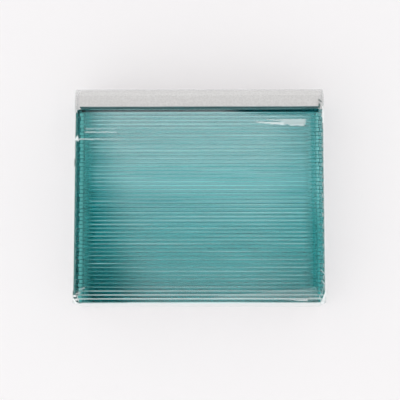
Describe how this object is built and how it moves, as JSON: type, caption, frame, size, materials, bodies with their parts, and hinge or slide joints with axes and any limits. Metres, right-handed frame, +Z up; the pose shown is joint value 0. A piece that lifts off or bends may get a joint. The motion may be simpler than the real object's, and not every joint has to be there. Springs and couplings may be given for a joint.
{
  "type": "pack of microscope slides",
  "caption": "Film-sealed block of plain microscope slides standing on their long edges, face to face, with a foam strip behind the last one.",
  "frame": {"origin": "on the table, under the middle of the wrapped pack", "axes": "+X along the slides, +Y through the stack from its near face to the foam strip, +Z up"},
  "size_m": [0.0774, 0.0671, 0.0257],
  "materials": {
    "clear_film": "clear film, glossy",
    "slide_glass": "polished soda-lime glass with ground edges",
    "white_foam": "soft white foam"
  },
  "bodies": {
    "root": {"film_wrap": "clear_film", "slide_01": "slide_glass", "slide_02": "slide_glass", "slide_03": "slide_glass", "slide_04": "slide_glass", "slide_05": "slide_glass", "slide_06": "slide_glass", "slide_07": "slide_glass", "slide_08": "slide_glass", "slide_09": "slide_glass", "slide_10": "slide_glass", "slide_11": "slide_glass", "slide_12": "slide_glass", "slide_13": "slide_glass", "slide_14": "slide_glass", "slide_15": "slide_glass", "slide_16": "slide_glass", "slide_17": "slide_glass", "slide_18": "slide_glass", "slide_19": "slide_glass", "slide_20": "slide_glass", "slide_21": "slide_glass", "slide_22": "slide_glass", "slide_23": "slide_glass", "slide_24": "slide_glass", "slide_25": "slide_glass", "slide_26": "slide_glass", "slide_27": "slide_glass", "slide_28": "slide_glass", "slide_29": "slide_glass", "slide_30": "slide_glass", "slide_31": "slide_glass", "slide_32": "slide_glass", "slide_33": "slide_glass", "slide_34": "slide_glass", "slide_35": "slide_glass", "slide_36": "slide_glass", "slide_37": "slide_glass", "slide_38": "slide_glass", "slide_39": "slide_glass", "slide_40": "slide_glass", "slide_41": "slide_glass", "slide_42": "slide_glass", "slide_43": "slide_glass", "slide_44": "slide_glass", "slide_45": "slide_glass", "slide_46": "slide_glass", "slide_47": "slide_glass", "slide_48": "slide_glass", "slide_49": "slide_glass", "slide_50": "slide_glass", "foam_strip": "white_foam"}
  },
  "joints": []
}
